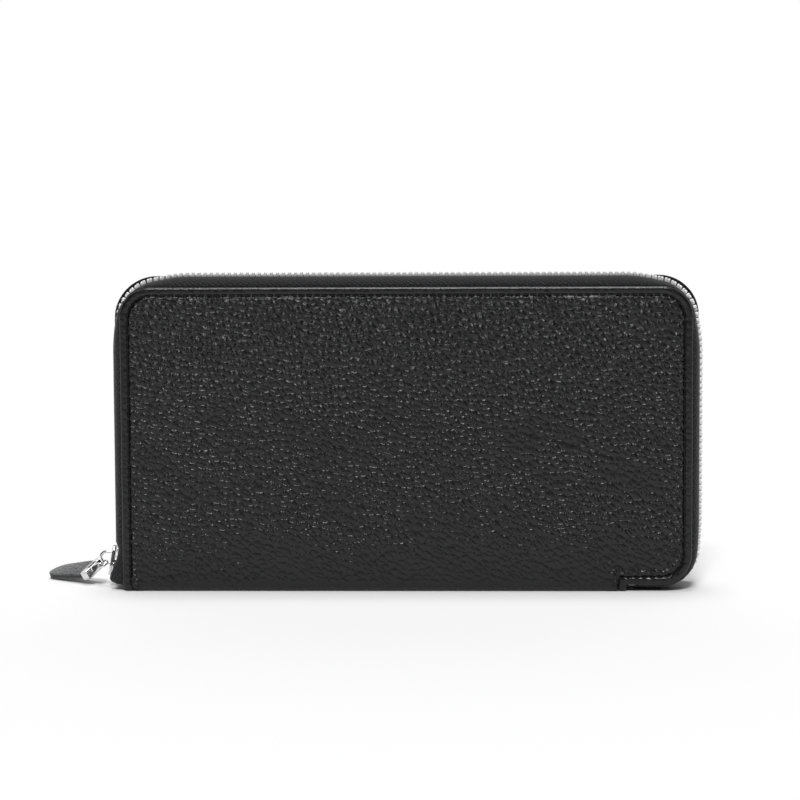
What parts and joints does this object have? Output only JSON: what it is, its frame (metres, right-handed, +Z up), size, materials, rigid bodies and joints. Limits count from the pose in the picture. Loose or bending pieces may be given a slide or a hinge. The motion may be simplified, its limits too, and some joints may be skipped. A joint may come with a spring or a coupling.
{
  "type": "long wallet",
  "caption": "Zip-around long wallet in black pebbled leather with card slots, note pockets, a zipped coin pocket and a leather zip pull.",
  "frame": {"origin": "middle of the long edge that the wallet stands on, on the outer face of the spine leather, half way between the covers and half way along them", "axes": "+X runs along the wallet towards the zip's closed-off end, -Y is the front cover's outward side, +Z is up from the spine to the long zipped edge"},
  "size_m": [0.2266, 0.0311, 0.1072],
  "materials": {
    "cover_leather": "black pebble-grained cowhide, satin, with grey highlights on the grain",
    "tab_leather": "black pebble-grained leather with smooth painted edges",
    "pocket_leather": "fine-grained black leather, satin",
    "lining_fabric": "black ribbed nylon lining, matt",
    "board": "grey-brown pulp board, matt",
    "zip_tape": "black woven polyester tape, matt",
    "zip_metal": "bright nickel-plated metal"
  },
  "bodies": {
    "spine": {"spine_leather": "cover_leather", "spine_lining": "lining_fabric", "zip_bottom_stop": "zip_metal", "coin_wall_front": "pocket_leather", "coin_wall_back": "pocket_leather", "coin_base": "lining_fabric", "coin_side_left": "lining_fabric", "coin_side_right": "lining_fabric", "coin_zip_tape_front": "zip_tape", "coin_zip_tape_back": "zip_tape", "coin_zip_teeth_front": "zip_metal", "coin_zip_teeth_back": "zip_metal", "coin_stop_left": "zip_metal", "coin_stop_right": "zip_metal"},
    "front_half": {"front_cover_leather": "cover_leather", "front_board": "board", "front_lining": "lining_fabric", "front_bill_pocket": "pocket_leather", "front_card_slot_left_1": "pocket_leather", "front_card_slot_left_2": "pocket_leather", "front_card_slot_left_3": "pocket_leather", "front_card_slot_right_1": "pocket_leather", "front_card_slot_right_2": "pocket_leather", "front_card_slot_right_3": "pocket_leather", "zip_tape_front": "zip_tape", "zip_teeth_front": "zip_metal", "zip_top_stop_front": "zip_metal"},
    "back_half": {"back_cover_leather": "cover_leather", "back_board": "board", "back_lining": "lining_fabric", "back_bill_pocket": "pocket_leather", "back_card_slot_left_1": "pocket_leather", "back_card_slot_left_2": "pocket_leather", "back_card_slot_left_3": "pocket_leather", "back_card_slot_right_1": "pocket_leather", "back_card_slot_right_2": "pocket_leather", "back_card_slot_right_3": "pocket_leather", "zip_tape_back": "zip_tape", "zip_teeth_back": "zip_metal", "zip_top_stop_back": "zip_metal"},
    "zip_carriage": {"slider_body": "zip_metal", "slider_crown": "zip_metal"},
    "zip_pull": {"pull_cap": "zip_metal", "pull_tab": "tab_leather"},
    "coin_carriage": {"coin_slider": "zip_metal"},
    "coin_tongue": {"coin_pull": "zip_metal"}
  },
  "joints": [
    {"name": "front_cover_fold", "type": "hinge", "parent": "spine", "child": "front_half", "pos_m": [0, -0.0112, 0.0008], "axis": [1, 0, 0], "range_deg": [0, 90]},
    {"name": "back_cover_fold", "type": "hinge", "parent": "spine", "child": "back_half", "pos_m": [0, 0.0112, 0.0008], "axis": [-1, 0, 0], "range_deg": [0, 90]},
    {"name": "zip_slide", "type": "slide", "parent": "back_half", "child": "zip_carriage", "axis": [0, 0, 1], "range_m": [0, 0.065]},
    {"name": "pull_swing", "type": "hinge", "parent": "zip_carriage", "child": "zip_pull", "pos_m": [-0.1035, 0, 0.0105], "axis": [0, 1, 0], "range_deg": [-20, 95]},
    {"name": "coin_zip_slide", "type": "slide", "parent": "spine", "child": "coin_carriage", "axis": [1, 0, 0], "range_m": [0, 0.138]},
    {"name": "coin_pull_swing", "type": "hinge", "parent": "coin_carriage", "child": "coin_tongue", "pos_m": [-0.078, 0, 0.0805], "axis": [0, -1, 0], "range_deg": [0, 120]}
  ]
}
